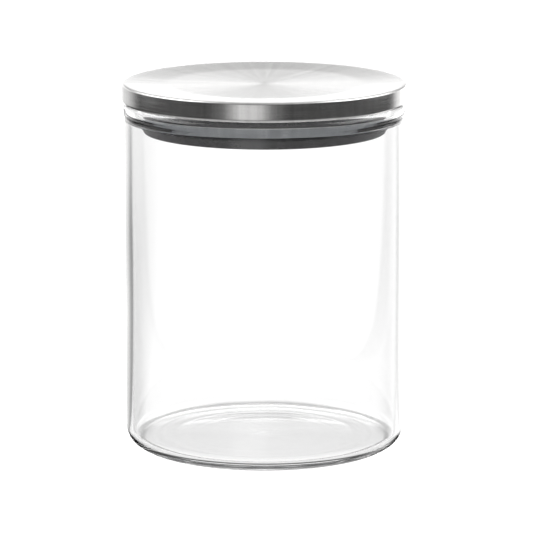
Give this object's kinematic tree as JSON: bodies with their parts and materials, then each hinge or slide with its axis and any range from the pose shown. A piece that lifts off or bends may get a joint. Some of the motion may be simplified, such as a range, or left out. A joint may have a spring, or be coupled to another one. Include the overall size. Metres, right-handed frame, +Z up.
{
  "type": "lidded glass canister",
  "caption": "Straight round glass storage jar with a thick rounded lip, closed by a push-in lid of brushed steel with a dark plug and a grey silicone seal, which lifts off.",
  "frame": {"origin": "middle of the base, on the surface that the jar stands on", "axes": "+Z up along the jar's axis, through the middle of the lid"},
  "size_m": [0.1016, 0.1016, 0.1312],
  "materials": {
    "clear_glass": "clear borosilicate glass, fire polished",
    "brushed_steel_cap": "turned brushing on the top, brushing round the skirt",
    "charcoal_plastic": "fine matt moulding, slightly dusty",
    "grey_silicone": "satin grey silicone"
  },
  "bodies": {
    "jar": {"glass_jar": "clear_glass"},
    "lid": {"lid_cap": "brushed_steel_cap", "lid_core": "charcoal_plastic", "lid_seal": "grey_silicone"}
  },
  "joints": [
    {"name": "lid_lift", "type": "slide", "parent": "jar", "child": "lid", "axis": [0, 0, 1], "range_m": [0, 0.12]}
  ]
}
